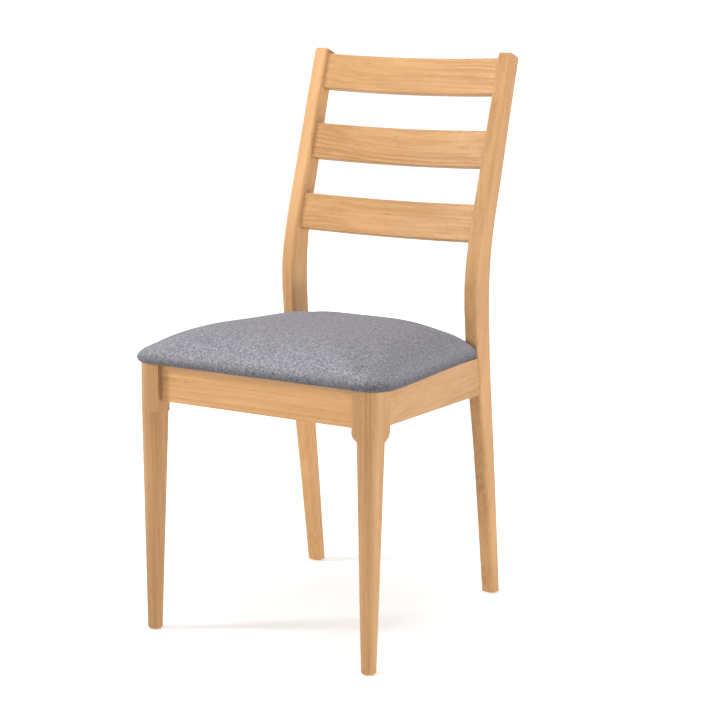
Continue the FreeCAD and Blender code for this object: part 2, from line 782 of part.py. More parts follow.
# A side rail is its side outline (sloping edges, rear end fitted to the post)
# common with its plan outline (tapering towards the back).
rail_start = leg_back + dim.fit_gap
REAR_END = ((348.2, 141.8), (378.0, 135.3), (410.2, 129.4))
for name, side in SIDES:
    outer_body = new_body(f"side_rail_{name}_plan_blank")
    edge = []
    for along in (rail_start.value, 150.0):
        edge.append((side * side_rail_outer(along), along))
    for along in (150.0, rail_start.value):
        edge.append((side * side_rail_inner(along), along))
    plan = outline(outer_body, f"side_rail_{name}_plan", "XY_Plane", edge, lift=as_size(300))
    add_pad(outer_body, f"side_rail_{name}_plan_pad", plan, as_size(150))

    side_body = new_body(f"side_rail_{name}_side_blank")
    corners = [(rail_start, dim.rail_underside)]
    corners.append((REAR_END[0][1], dim.side_rail_rear_underside))
    corners.append((REAR_END[1][1], REAR_END[1][0]))
    corners.append((REAR_END[2][1], seat_plane(as_size(REAR_END[2][1]))))
    corners.append((rail_start, seat_plane(rail_start)))
    view = outline(side_body, f"side_rail_{name}_view", "YZ_Plane", corners)
    add_pad(side_body, f"side_rail_{name}_view_pad", view, as_size(500), midplane=True)

    blank = doc.addObject("Part::MultiCommon", f"side_rail_{name}_blank")
    blank.Shapes = [outer_body, side_body]
    doc.recompute()
    soft = doc.addObject("Part::Fillet", f"side_rail_{name}_soft")
    soft.Base = blank
    radius = dim.rail_edge.value
    chosen = []
    for i, e in enumerate(blank.Shape.Edges, start=1):
        ends = [v.Point for v in e.Vertexes]
        if abs(ends[0].y - ends[1].y) > 300 and max(p.z for p in ends) < 370:
            chosen.append((i, radius, radius))
    soft.Edges = chosen
    doc.recompute()
    cut_from(f"side_rail_{name}", soft, drills[name] + [rail_screw_room])

# --------------------------------------------------------------------------
# Seat pad: board, foam, cover and staples, built level and then sloped
# --------------------------------------------------------------------------
seat_turn = Rotation(Vector(1, 0, 0), -dim.seat_slope.value)
seat_base = Vector(0, dim.seat_front_edge.value, dim.seat_front_height.value)
seat_spot = Placement(seat_base, seat_turn)
taper = (dim.pad_half_front.value - dim.pad_half_rear.value) / dim.pad_length.value

# Shape of the padded edge and crown: height above the seat plane, how far the
# outline has drawn in, and the radius of its corners.
CROWN = (
    (0.0, 3.5, 38.0),
    (3.5, 1.0, 39.0),
    (9.0, 0.0, 40.0),
    (17.1, 3.5, 42.0),
    (26.3, 14.0, 48.0),
    (36.4, 26.4, 55.0),
    (45.6, 43.6, 64.0),
    (52.2, 61.6, 72.0),
    (56.3, 82.6, 74.0),
    (58.8, 110.0, 62.0),
)
LOFT_DEGREE = 3


def pad_corners(inset):
    """Corners of the tapered pad outline drawn in by an inset, in its own plane."""
    length = dim.pad_length.value
    slant = inset * math.hypot(1, taper)
    rows = []
    for along in (inset, length - inset):
        rows.append((dim.pad_half_front.value - taper * along - slant, along))
    (wide, front), (narrow, rear) = rows
    return [(wide, front), (narrow, rear), (-narrow, rear), (-wide, front)]


def rounded_outline(corners, radius, height):
    """A closed outline whose corners are rounded with one radius."""
    pieces = []
    joints = []
    for i, corner in enumerate(corners):
        here = Vector(*corner, height)
        before = (Vector(*corners[i - 1], height) - here).normalize()
        after = (Vector(*corners[(i + 1) % len(corners)], height) - here).normalize()
        half_angle = before.getAngle(after) / 2
        reach = radius / math.tan(half_angle)
        inward = (before + after).normalize()
        crest = here + inward * (radius / math.sin(half_angle) - radius)
        joints.append((here + before * reach, crest, here + after * reach))
    for i, (start, crest, stop) in enumerate(joints):
        pieces.append(Part.Arc(start, crest, stop).toShape())
        pieces.append(Part.makeLine(stop, joints[(i + 1) % len(joints)][0]))
    return Part.Wire(pieces)


def crowned_pad(skin):
    """The upholstered pad, or its filling when a skin thickness is taken off."""
    top = CROWN[-1][0]
    wires = []
    for height, inset, radius in CROWN:
        lowered = height * (1 - skin / top)
        wires.append(rounded_outline(pad_corners(inset + skin), radius, lowered))
    return Part.makeLoft(wires, True, False, False, LOFT_DEGREE)


def post_cutout(skin):
    """Tools for the notches round the rear posts, leaning like the posts."""
    near = dim.pad_notch_across.value - skin
    foot = dim.pad_notch_along.value - skin
    lean_back = 0.19
    low, high = -5.0, 70.0
    profile = [(foot - lean_back * low, low), (450.0, low), (450.0, high), (foot - lean_back * high, high)]
    tools = []
    for side in (1, -1):
        points = [Vector(side * near, y, z) for y, z in profile]
        face = Part.Face(Part.makePolygon(points + points[:1]))
        tools.append(face.extrude(Vector(side * 80, 0, 0)))
    return tools


def slab(low, high):
    return Part.makeBox(600, 600, high - low, Vector(-300, -50, low))


skin = dim.cover_thickness.value
board_top = skin + dim.board_thickness.value

# board
board_body = new_body("seat_board_blank")
inset = dim.board_inset
front_half = dim.pad_half_front - inset * 1.05
notch_x = dim.pad_notch_across - inset
notch_y = dim.pad_notch_along - inset
rear_y = dim.pad_length - inset
corner_cut = 26
bevel_end = inset + corner_cut
right_side = [
    (front_half - corner_cut, inset),
    (front_half - bevel_end * taper, bevel_end),
    (front_half - notch_y * taper, notch_y),
    (notch_x, notch_y),
    (notch_x, rear_y),
]
left_side = [(-x, y) for x, y in reversed(right_side)]
plan = outline(board_body, "board_plan", "XY_Plane", right_side + left_side, lift=dim.cover_thickness)
add_pad(board_body, "board_pad", plan, dim.board_thickness)
board_body.Placement = seat_spot

# staples round the underside, through the fabric into the board
staple = new_body("staple_pattern")
wide, wire, deep = dim.staple_width / 2, dim.staple_wire, dim.staple_depth
corners = [
    (-wide, -wire),
    (wide, -wire),
    (wide, deep),
    (wide - wire, deep),
    (wide - wire, 0),
    (wire - wide, 0),
    (wire - wide, deep),
    (-wide, deep),
]
view = outline(staple, "staple_view", "XZ_Plane", corners)
add_pad(staple, "staple_pad", view, wire, midplane=True)

staple_line = 41.0
wide_front, wide_rear = pad_corners(staple_line)[0][0], pad_corners(staple_line)[1][0]
far = dim.pad_length.value - staple_line
staple_spots = []
for i in range(8):
    x = wide_front * (-0.9 + 1.8 * i / 7)
    staple_spots.append((x, staple_line, 0))
    x = (wide_rear - 6) * (-0.9 + 1.8 * i / 7)
    staple_spots.append((x, far, 0))
for side in (-1, 1):
    for i in range(8):
        share = 0.07 + 0.86 * i / 7
        x = wide_front + (wide_rear - wide_front) * share
        staple_spots.append((side * x, staple_line + (far - staple_line) * share, 90))
placements = [
    seat_spot.multiply(Placement(Vector(x, y, 0), Rotation(Vector(0, 0, 1), turn)))
    for x, y, turn in staple_spots
]
doc.recompute()
staples = copies("cover_staples", staple, placements)
keep("cover_staples", staples)
cut_from("seat_board", board_body, [seat_screw_room, staples])

# foam on the board
filling = crowned_pad(skin)
foam = filling.common(slab(board_top + 0.05, 100)).cut(post_cutout(skin + 0.3))
seat_foam = doc.addObject("Part::Feature", "seat_foam")
seat_foam.Shape = foam
seat_foam.Placement = seat_spot
keep("seat_foam", seat_foam)

# fabric cover: skin over the foam and round the board, lapped underneath
hollow = filling.common(slab(skin, 100)).cut(post_cutout(skin))
window_corners = [Vector(x, y, -5) for x, y in pad_corners(dim.cover_lap.value)]
window = Part.Face(Part.makePolygon(window_corners + window_corners[:1])).extrude(Vector(0, 0, 10))
cover = crowned_pad(0).cut(post_cutout(0)).cut(hollow).cut(window)
cover_blank = doc.addObject("Part::Feature", "seat_cover_blank")
cover_blank.Shape = cover
cover_blank.Placement = seat_spot
cut_from("seat_cover", cover_blank, [staples])

# --------------------------------------------------------------------------
# Check and write the pieces
# --------------------------------------------------------------------------
doc.recompute()
faults = []
for thing in doc.Objects:
    if "Invalid" in thing.State or "Error" in thing.State:
        faults.append(f"{thing.Label}: {thing.State}")
for label, node in NODES.items():
    shape = node.Shape
    if shape.isNull() or not shape.isValid() or shape.Volume <= 0:
        faults.append(f"{label}: bad shape")
if faults:
    raise RuntimeError("; ".join(faults))
for label, node in NODES.items():
    node.Shape.exportStep(f"parts/{label}.step")
    box = node.Shape.optimalBoundingBox(True, False)
    print(
        f"{label:26s} {len(node.Shape.Solids):3d} solids {node.Shape.Volume / 1000:9.2f} cm3 "
        f"x {box.XMin:7.1f}..{box.XMax:7.1f} y {box.YMin:7.1f}..{box.YMax:7.1f} "
        f"z {box.ZMin:6.1f}..{box.ZMax:6.1f}"
    )
print(len(NODES), "nodes")
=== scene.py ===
"""Looks of a dining chair: lacquered oak frame and a seat pad in heathered woven fabric.

Everything is in metres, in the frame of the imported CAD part: Z up, the front of the chair
faces -Y, and +X is on the viewer's right when the viewer stands before it.
"""

import math

import bpy
import numpy as np
from mathutils import Matrix, Vector


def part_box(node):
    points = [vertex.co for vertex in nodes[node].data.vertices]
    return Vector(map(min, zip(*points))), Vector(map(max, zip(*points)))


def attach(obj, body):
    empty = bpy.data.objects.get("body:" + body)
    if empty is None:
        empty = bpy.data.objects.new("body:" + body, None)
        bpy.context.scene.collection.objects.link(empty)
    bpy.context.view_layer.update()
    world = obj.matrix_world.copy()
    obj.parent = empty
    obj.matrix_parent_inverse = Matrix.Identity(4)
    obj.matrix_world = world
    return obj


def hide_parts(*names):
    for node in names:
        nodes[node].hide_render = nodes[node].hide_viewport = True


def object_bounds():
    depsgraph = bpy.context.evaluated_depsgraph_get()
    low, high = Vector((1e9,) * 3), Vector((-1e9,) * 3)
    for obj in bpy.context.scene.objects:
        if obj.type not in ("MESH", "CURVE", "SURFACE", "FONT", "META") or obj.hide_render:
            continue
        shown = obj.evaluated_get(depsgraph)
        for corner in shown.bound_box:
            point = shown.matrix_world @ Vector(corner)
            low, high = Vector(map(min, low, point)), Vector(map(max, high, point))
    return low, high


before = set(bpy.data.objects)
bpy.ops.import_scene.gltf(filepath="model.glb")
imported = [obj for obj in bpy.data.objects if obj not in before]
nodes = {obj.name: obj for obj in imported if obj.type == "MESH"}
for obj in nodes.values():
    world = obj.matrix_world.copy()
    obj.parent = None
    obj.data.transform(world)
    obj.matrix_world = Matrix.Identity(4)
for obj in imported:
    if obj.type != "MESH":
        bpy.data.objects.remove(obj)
cad_low, cad_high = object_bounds()
BODY = "root"

# --------------------------------------------------------------------------
# Node graphs
# --------------------------------------------------------------------------


class Graph:
    """A material under construction: short calls that add nodes and return their outputs."""

    def __init__(self, name):
        self.material = bpy.data.materials.new(name)
        self.material.use_nodes = True
        self.tree = self.material.node_tree
        self.tree.nodes.clear()

    def add(self, kind, inputs=None, **settings):
        node = self.tree.nodes.new(kind)
        for key, value in settings.items():
            setattr(node, key, value)
        for socket, value in (inputs or {}).items():
            if isinstance(value, bpy.types.NodeSocket):
                self.tree.links.new(value, node.inputs[socket])
            else:
                node.inputs[socket].default_value = value
        return node

    def math(self, operation, a, b=0.0, clamp=False):
        node = self.add("ShaderNodeMath", {0: a, 1: b}, operation=operation, use_clamp=clamp)
        return node.outputs[0]

    def between(self, share, a, b):
        """a where share is 0, b where it is 1."""
        return self.math("ADD", a, self.math("MULTIPLY", share, self.math("SUBTRACT", b, a)))

    def vector(self, operation, a, b):
        return self.add("ShaderNodeVectorMath", {0: a, 1: b}, operation=operation).outputs[0]

    def place(self):
        """Where a point is, in the frame of the part."""
        return self.add("ShaderNodeTexCoord").outputs["Object"]

    def noise(self, vector, scale, detail=2.0, roughness=0.5, output="Fac"):
        inputs = {"Vector": vector, "Scale": scale, "Detail": detail, "Roughness": roughness}
        return self.add("ShaderNodeTexNoise", inputs).outputs[output]

    def remap(self, value, low, high, to_low=0.0, to_high=1.0, smooth=False):
        inputs = {"Value": value, "From Min": low, "From Max": high, "To Min": to_low, "To Max": to_high}
        shape = "SMOOTHSTEP" if smooth else "LINEAR"
        return self.add("ShaderNodeMapRange", inputs, interpolation_type=shape, clamp=True).outputs[0]

    def grey(self, value):
        """One value as a colour."""
        return self.add("ShaderNodeCombineColor", {0: value, 1: value, 2: value}).outputs[0]

    def mix(self, share, a, b, blend="MIX"):
        inputs = {0: share, 6: a, 7: b}
        return self.add("ShaderNodeMix", inputs, data_type="RGBA", blend_type=blend).outputs[2]

    def ramp(self, value, stops):
        node = self.add("ShaderNodeValToRGB", {0: value})
        elements = node.color_ramp.elements
        while len(elements) < len(stops):
            elements.new(0.5)
        for element, (place, colour) in zip(elements, stops):
            element.position = place
            element.color = colour
        return node.outputs[0]

    def bump(self, height, strength, distance, under=None):
        inputs = {"Height": height, "Strength": strength, "Distance": distance}
        if under is not None:
            inputs["Normal"] = under
        return self.add("ShaderNodeBump", inputs).outputs[0]

    def finish(self, **sockets):
        """Closes the graph with a Principled shader; keys are its sockets, spaces as _."""
        inputs = {key.replace("_", " "): value for key, value in sockets.items()}
        shader = self.add("ShaderNodeBsdfPrincipled", inputs)
        self.add("ShaderNodeOutputMaterial", {"Surface": shader.outputs[0]})
        return self.material


FULL_CHANNEL = 255


def linear(red, green, blue):
    """A colour given as it looks on a screen, 0 to 255, as the linear values that a shader takes."""
    values = []
    for channel in (red, green, blue):
        share = channel / FULL_CHANNEL
        values.append(share / 12.92 if share <= 0.04045 else ((share + 0.055) / 1.055) ** 2.4)
    return (*values, 1.0)


# --------------------------------------------------------------------------
# Wood
# --------------------------------------------------------------------------
# Colours of early wood, late wood and pores, and the width of a year's growth.
OAK = {"light": (188, 146, 100), "dark": (163, 118, 74), "pore": (128, 86, 50), "rings": 0.0085}
PINE = {"light": (188, 156, 112), "dark": (166, 128, 84), "pore": (140, 100, 62), "rings": 0.0038}
BEECH = {"light": (184, 150, 116), "dark": (166, 130, 96), "pore": (130, 92, 62), "rings": 0.0030}
PLY_THICKNESS = 0.0036


def wood(name, kind, along, shift, tone=1.0, figure=1.0, pith=(0.06, 0.11), lean=2.2):
    """Sawn and lacquered wood.

    along is the direction of the grain, shift the place in the tree that the piece was cut
    from, tone how light the piece is, figure how strongly the grain is drawn, and pith where
    the middle of the tree lies, across the grain. lean is the slope of the grain in degrees.
    """
    g = Graph(name)
    turn = Vector((1, 0, 0)).rotation_difference(Vector(along)).inverted()
    tilt = Matrix.Rotation(math.radians(lean), 3, "Z").to_quaternion()
    cut = g.add(
        "ShaderNodeMapping",
        {"Vector": g.place(), "Location": shift, "Rotation": (tilt @ turn).to_euler()},
    ).outputs[0]

    # wandering of the fibres
    slow = g.vector("MULTIPLY", cut, (2.2, 14.0, 14.0))
    wander = g.noise(slow, 1.0, 2.0, 0.5, "Color")
    wander = g.vector("MULTIPLY", g.vector("SUBTRACT", wander, (0.5, 0.5, 0.5)), (0.0, 0.020, 0.020))
    fibre = g.vector("ADD", cut, wander)

    # growth rings round the pith: early wood fades into a sharper line of late wood
    from_pith = g.vector("MULTIPLY", g.vector("SUBTRACT", fibre, (0.0, *pith)), (0.0, 1.0, 1.0))
    radius = g.add("ShaderNodeVectorMath", {0: from_pith}, operation="LENGTH").outputs["Value"]
    rhythm = g.noise(g.vector("MULTIPLY", cut, (1.3, 46.0, 46.0)), 1.0, 2.0, 0.5)
    count = g.math("ADD", g.math("DIVIDE", radius, kind["rings"]), g.math("MULTIPLY", rhythm, 2.8))
    year = g.math("FRACT", count)
    rise = g.remap(year, 0.0, 0.82, smooth=True)
    fall = g.remap(year, 0.86, 1.0, 1.0, 0.0, smooth=True)
    ring = g.math("MULTIPLY", rise, fall)
    clear = g.noise(g.vector("MULTIPLY", cut, (3.0, 30.0, 30.0)), 1.0, 1.0)
    ring = g.math("MULTIPLY", ring, g.remap(clear, 0.38, 0.70, 0.05, 1.0))

    # streaks, fine fibres and pores, all drawn out along the grain
    streak = g.noise(g.vector("MULTIPLY", fibre, (4.0, 95.0, 95.0)), 1.0, 4.0, 0.6)
    fine = g.noise(g.vector("MULTIPLY", fibre, (26.0, 900.0, 900.0)), 1.0, 2.0, 0.6)
    dash = g.noise(g.vector("MULTIPLY", fibre, (70.0, 760.0, 760.0)), 1.0, 1.0, 0.4)
    pore = g.remap(dash, 0.60, 0.70, smooth=True)
    pore = g.math("MULTIPLY", pore, g.remap(ring, 0.0, 0.8, 0.35, 1.0))
    speck = g.noise(g.vector("MULTIPLY", fibre, (30.0, 360.0, 360.0)), 1.0, 2.0, 0.5)
    speck = g.remap(speck, 0.62, 0.76, smooth=True)
    patch = g.noise(g.vector("MULTIPLY", cut, (7.0, 40.0, 40.0)), 1.0, 2.0, 0.5)
    speck = g.math("MULTIPLY", speck, g.remap(patch, 0.42, 0.66, 0.05, 1.0))
    broad = g.noise(g.vector("MULTIPLY", cut, (1.6, 9.0, 9.0)), 1.0, 2.0)

    light = linear(*(min(FULL_CHANNEL, channel * tone) for channel in kind["light"]))
    dark = linear(*(channel * tone for channel in kind["dark"]))
    colour = g.mix(g.math("MULTIPLY", ring, 0.66 * figure), light, dark)
    colour = g.mix(g.remap(streak, 0.42, 0.74, 0.0, 0.62 * figure), colour, dark)
    colour = g.mix(g.remap(fine, 0.45, 0.75, 0.0, 0.36), colour, dark)
    colour = g.mix(g.math("MULTIPLY", pore, 0.32), colour, linear(*kind["pore"]))
    colour = g.mix(g.math("MULTIPLY", speck, 0.52 * figure), colour, linear(*kind["pore"]))
    shade = g.remap(broad, 0.3, 0.7, 0.93, 1.05)
    colour = g.mix(1.0, colour, g.grey(shade), "MULTIPLY")

    grain = g.math("SUBTRACT", g.math("MULTIPLY", fine, 0.35), g.math("MULTIPLY", pore, 0.8))
    gloss = g.remap(g.noise(cut, 38.0, 3.0, 0.6), 0.3, 0.7, 0.42, 0.52)
    roughness = g.math("ADD", gloss, g.math("MULTIPLY", pore, 0.12))
    return g.finish(
        Base_Color=colour,
        Roughness=roughness,
        Normal=g.bump(grain, 0.22, 0.0005),
        Specular_IOR_Level=0.16,
        Coat_Weight=0.03,
        Coat_Roughness=0.35,
        IOR=1.5,
    )


def plywood(name, slope):
    """Board with its face veneer running from side to side and its plies showing at the edge."""
    g = Graph(name)
    sloping = {"Vector": g.place(), "Rotation": (slope, 0.0, 0.0)}
    level = g.add("ShaderNodeMapping", sloping).outputs[0]
    streak = g.noise(g.vector("MULTIPLY", level, (6.0, 90.0, 20.0)), 1.0, 4.0, 0.6)
    fine = g.noise(g.vector("MULTIPLY", level, (40.0, 800.0, 300.0)), 1.0, 2.0, 0.6)
    face = g.mix(g.remap(streak, 0.35, 0.7), linear(214, 180, 132), linear(184, 142, 95))
    face = g.mix(g.remap(fine, 0.5, 0.8, 0.0, 0.4), face, linear(150, 108, 68))
    height = g.add("ShaderNodeSeparateXYZ", {0: level}).outputs[2]
    ply = g.math("FRACT", g.math("MULTIPLY", height, 1 / PLY_THICKNESS))
    band = g.remap(ply, 0.45, 0.55, 0.72, 1.0)
    normal = g.add("ShaderNodeNewGeometry").outputs["Normal"]
    facing_up = g.add("ShaderNodeSeparateXYZ", {0: normal}).outputs[2]
    edge = g.remap(g.math("ABSOLUTE", facing_up), 0.5, 0.9, 1.0, 0.0)
    band = g.math("ADD", g.math("MULTIPLY", band, edge), g.math("SUBTRACT", 1.0, edge))
    colour = g.mix(1.0, face, g.grey(band), "MULTIPLY")
    return g.finish(Base_Color=colour, Roughness=0.72, Normal=g.bump(fine, 0.25, 0.0005))


# --------------------------------------------------------------------------
# Fabric, metal and plastic
# --------------------------------------------------------------------------
YARN_PITCH = 0.00125
SEAT_SLOPE = math.radians(1.75)


def woven_fabric(name, pad_underside):
    """Heathered grey plain weave: two sets of yarns, each spun from light and dark fibres.

    pad_underside is the height of the underside of the sloping pad at the middle of the chair; the painted
    shade along the rolled edge is measured up from it.
    """
    g = Graph(name)
    place = g.place()
    normal = g.add("ShaderNodeNewGeometry").outputs["Normal"]
    facing_right, facing_back, _ = g.add("ShaderNodeSeparateXYZ", {0: normal}).outputs
    x, y, z = g.add("ShaderNodeSeparateXYZ", {0: place}).outputs

    # the yarns run across the chair and from front to back, and hang down over the sides
    side_on = g.remap(g.math("ABSOLUTE", facing_right), 0.70, 0.78)
    end_on = g.remap(g.math("ABSOLUTE", facing_back), 0.70, 0.78)
    across = g.between(side_on, x, z)
    along = g.between(end_on, y, z)
    drift = g.noise(place, 60.0, 2.0)
    slip = g.math("MULTIPLY", g.math("SUBTRACT", drift, 0.5), YARN_PITCH * 1.6)
    warp_phase = g.math("MULTIPLY", g.math("ADD", across, slip), math.pi / YARN_PITCH)
    weft_phase = g.math("MULTIPLY", g.math("SUBTRACT", along, slip), math.pi / YARN_PITCH)
    warp = g.math("ABSOLUTE", g.math("SINE", warp_phase))
    weft = g.math("ABSOLUTE", g.math("SINE", weft_phase))
    over = g.math("MULTIPLY", g.math("SINE", warp_phase), g.math("SINE", weft_phase))
    over = g.remap(over, -0.25, 0.25, smooth=True)
    weave = g.between(over, weft, warp)

    # fibres of several greys
    flecks_across = g.noise(g.vector("MULTIPLY", place, (420.0, 1100.0, 900.0)), 1.0, 2.0, 0.65)
    flecks_along = g.noise(g.vector("MULTIPLY", place, (1100.0, 420.0, 700.0)), 1.0, 2.0, 0.65)
    fleck = g.between(over, flecks_across, flecks_along)
    cloud = g.noise(place, 400.0, 3.0, 0.7)
    slub = g.noise(place, 170.0, 2.0, 0.6)
    colour = g.ramp(
        fleck,
        [
            (0.30, linear(97, 95, 100)),
            (0.46, linear(127, 125, 131)),
            (0.58, linear(143, 141, 147)),
            (0.72, linear(170, 168, 174)),
        ],
    )
    # painted shade: the colour is darker in the hollows between the yarns
    hollows = g.remap(weave, 0.0, 1.0, 0.82, 1.04)
    shade = g.math("MULTIPLY", g.remap(cloud, 0.34, 0.66, 0.56, 1.44), hollows)
    shade = g.math("MULTIPLY", shade, g.remap(slub, 0.34, 0.66, 0.84, 1.14))
    # painted shade: the fabric is darkened towards the underside of the pad, standing in for the shade that
    # the rolled edge lies in
    fall = g.math("MULTIPLY", y, math.tan(SEAT_SLOPE))
    above = g.math("SUBTRACT", g.math("ADD", z, fall), pad_underside)
    shade = g.math("MULTIPLY", shade, g.remap(above, 0.002, 0.021, 0.42, 1.0, smooth=True))
    # painted shade: faces turned towards +X are darkened, down to 0.72, as that side lies in shade
    shade = g.math("MULTIPLY", shade, g.remap(facing_right, 0.05, 0.60, 1.0, 0.72, smooth=True))
    colour = g.mix(1.0, colour, g.grey(shade), "MULTIPLY")

    fuzz = g.noise(place, 1900.0, 2.0, 0.7)
    height = g.math("ADD", weave, g.math("MULTIPLY", fuzz, 0.6))
    soft = g.bump(g.noise(place, 90.0, 3.0), 0.10, 0.003)
    return g.finish(
        Base_Color=colour,
        Roughness=g.remap(fuzz, 0.3, 0.7, 0.86, 0.98),
        Normal=g.bump(height, 0.55, 0.0006, soft),
        Specular_IOR_Level=0.18,
        Sheen_Weight=0.12,
        Sheen_Roughness=0.45,
        Sheen_Tint=(0.9, 0.9, 1.0, 1.0),
    )


def metal(name, colour, roughness):
    """Zinc-plated steel with fine handling marks."""
    g = Graph(name)
    place = g.place()
    marks = g.noise(place, 900.0, 3.0, 0.6)
    tint = g.mix(g.remap(marks, 0.35, 0.7), linear(*colour), linear(*(channel * 0.82 for channel in colour)))
    return g.finish(
        Base_Color=tint,
        Metallic=1.0,
        Roughness=g.remap(marks, 0.3, 0.7, roughness, roughness + 0.14),
        Normal=g.bump(marks, 0.1, 0.0001),
    )


def plastic(name, colour):
    """Moulded nylon, faintly speckled and scuffed."""
    g = Graph(name)
    place = g.place()
    speckle = g.noise(place, 1400.0, 2.0, 0.6)
    tint = g.mix(g.remap(speckle, 0.4, 0.7), linear(*colour), linear(*(channel * 0.9 for channel in colour)))
    return g.finish(
        Base_Color=tint,
        Roughness=g.remap(speckle, 0.3, 0.7, 0.45, 0.60),
        Normal=g.bump(speckle, 0.12, 0.0001),
    )


# --------------------------------------------------------------------------
# Finish of every piece of the frame
# --------------------------------------------------------------------------


def finish_node(name, material):
    piece = nodes[name]
    piece.data.materials.clear()
    piece.data.materials.append(material)
    for polygon in piece.data.polygons:
        polygon.material_index = 0


UP, ACROSS, BACK = (0, 0, 1), (1, 0, 0), (0, 1, 0)
OAK_PIECES = {
    # piece: (grain, place in the tree, tone, figure)
    "front_leg_left": (UP, (0.31, 0.02, 0.40), 0.88, 1.2),
    "front_leg_right": (UP, (1.13, 0.27, 0.11), 0.89, 1.2),
    "rear_post_left": ((0, 0.24, 1), (2.07, 0.05, 0.33), 1.00, 0.8),
    "rear_post_right": ((0, 0.24, 1), (0.71, 0.36, 0.08), 0.93, 1.0),
    "front_rail": (ACROSS, (0.53, 0.12, 0.29), 1.02, 0.8),
    "rear_rail": (ACROSS, (1.93, 0.41, 0.17), 0.97, 1.0),
    "side_rail_left": (BACK, (0.17, 0.33, 0.05), 0.94, 0.9),
    "side_rail_right": (BACK, (2.41, 0.09, 0.22), 0.89, 0.9),
    "top_slat": (ACROSS, (1.37, 0.19, 0.37), 0.98, 1.2),
    "middle_slat": (ACROSS, (0.89, 0.44, 0.13), 0.97, 1.5),
    "lower_slat": (ACROSS, (2.83, 0.07, 0.25), 0.98, 1.4),
}
for piece, (grain, shift, tone, figure) in OAK_PIECES.items():
    direction = Vector(grain).normalized()
    finish_node(piece, wood(f"oak_{piece}", OAK, direction, shift, tone, figure))

for side, sign in (("left", 1), ("right", -1)):
    for end, turned in (("front", -1), ("rear", 1)):
        grain = Vector((1, sign * turned, 0)).normalized()
        shift = (0.4 + 0.3 * sign, 0.1 + 0.2 * turned, 0.3)
        piece = f"corner_block_{end}_{side}"
        finish_node(piece, wood(f"pine_{end}_{side}", PINE, grain, shift))

beech_across = wood("beech_across", BEECH, ACROSS, (0.2, 0.5, 0.1))
beech_back = wood("beech_back", BEECH, BACK, (0.6, 0.3, 0.2))
finish_node("front_rail_dowels", beech_across)
finish_node("rear_rail_dowels", beech_across)
finish_node("side_rail_dowels_left", beech_back)
finish_node("side_rail_dowels_right", beech_back)

screw_steel = metal("screw_steel", (190, 188, 178), 0.28)
finish_node("corner_block_screws", screw_steel)
finish_node("seat_fixing_screws", screw_steel)
finish_node("cover_staples", metal("staple_steel", (176, 178, 182), 0.32))
glide_plastic = plastic("glide_plastic", (196, 180, 150))
for end in ("front", "rear"):
    for side in ("left", "right"):
        finish_node(f"glide_{end}_{side}", glide_plastic)

# --------------------------------------------------------------------------
# Seat pad
# --------------------------------------------------------------------------
PAD_LENGTH = 0.4115
PAD_HALF_FRONT = 0.2258
PAD_HALF_REAR = 0.1763
PAD_TAPER = (PAD_HALF_FRONT - PAD_HALF_REAR) / PAD_LENGTH
NOTCH_ACROSS = 0.1530
NOTCH_ALONG = 0.3777
NOTCH_LEAN = 0.19
BOARD_LOW, BOARD_HIGH = 0.0012, 0.0102
BOARD_INSET = 0.006
BOARD_GAP = 0.0004  # between the board and the form round it
POCKET_GAP = 0.0007
LAP_GAP = 0.00008  # between the board and the fabric under it
COVER_LAP = 0.048
LAP_STARTS = 0.012  # further in than this the fabric lies under the board, clear of the posts
MOST_CLEARANCE = 0.03
DOME = 0.0016  # rise of the middle of the top above the last row of CROWN
REAR_ROLL = 0.0035  # from the rear edge to the lowest line of the sloping pad

# Padded top from its widest line to the crown: height, how far the outline has drawn in,
# and the radius of its corners.
CROWN = (
    (0.0090, 0.0000, 0.040),
    (0.0171, 0.0035, 0.042),
    (0.0263, 0.0140, 0.048),
    (0.0364, 0.0264, 0.055),
    (0.0456, 0.0436, 0.064),
    (0.0522, 0.0616, 0.072),
    (0.0563, 0.0826, 0.074),
    (0.0588, 0.1100, 0.062),
)
# Rolled lower edge and the fabric turned under the board.
UNDERSIDE = (
    (0.0052, 0.0004, 0.040),
    (0.0025, 0.0014, 0.039),
    (0.0008, 0.0028, 0.038),
    (0.0000, 0.0055, 0.036),
    (0.0000, 0.0160, 0.030),
    (0.0000, 0.0270, 0.022),
    (0.0000, 0.0380, 0.014),
    (0.0001, COVER_LAP - 0.0004, 0.008),
)
RINGS = 40  # from the middle of the top to its widest line
EDGE_POINTS = 8 * RINGS  # round each loop from the widest line on
TOP_POINTS = (2 * RINGS + 1) ** 2
CROWN_SHARE = 0.56  # of these rings, the part that lies on the slope
PAD_MIDDLE = Vector((0, 0.50 * PAD_LENGTH, 0))

cover_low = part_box("seat_cover")[0]
seat_front_height = cover_low.z + (PAD_LENGTH - REAR_ROLL) * math.sin(SEAT_SLOPE)
seat_middle_height = seat_front_height + cover_low.y * math.tan(SEAT_SLOPE)
seat_tilt = Matrix.Rotation(-SEAT_SLOPE, 4, "X")
seat_place = Matrix.Translation((0, cover_low.y, seat_front_height)) @ seat_tilt


